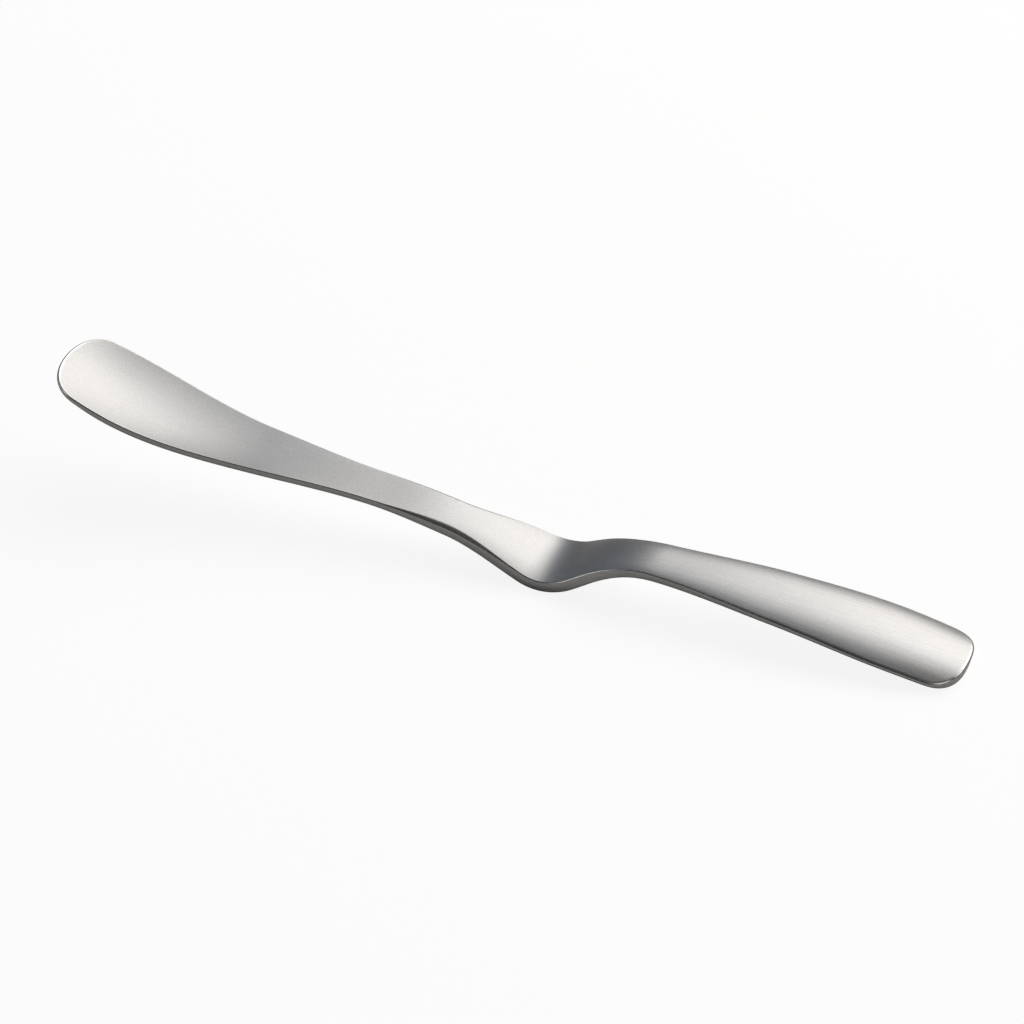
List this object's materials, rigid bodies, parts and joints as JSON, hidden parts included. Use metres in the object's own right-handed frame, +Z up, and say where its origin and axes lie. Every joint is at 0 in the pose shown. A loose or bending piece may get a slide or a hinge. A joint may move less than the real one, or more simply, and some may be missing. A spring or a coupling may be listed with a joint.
{
  "type": "butter knife",
  "caption": "Stainless butter knife bent from flat strip, with a dished, upswept blade, a cranked neck that holds the blade off the table and a crowned grip.",
  "frame": {"origin": "on the table under the middle of the knife's length and width, with the knife resting on the underside of its crank and the end of its grip", "axes": "+X from the tip of the blade to the end of the grip, +Y across the strip, +Z up from the table"},
  "size_m": [0.1758, 0.0196, 0.0223],
  "materials": {
    "steel": "satin"
  },
  "bodies": {
    "root": {"knife": "steel"}
  },
  "joints": []
}
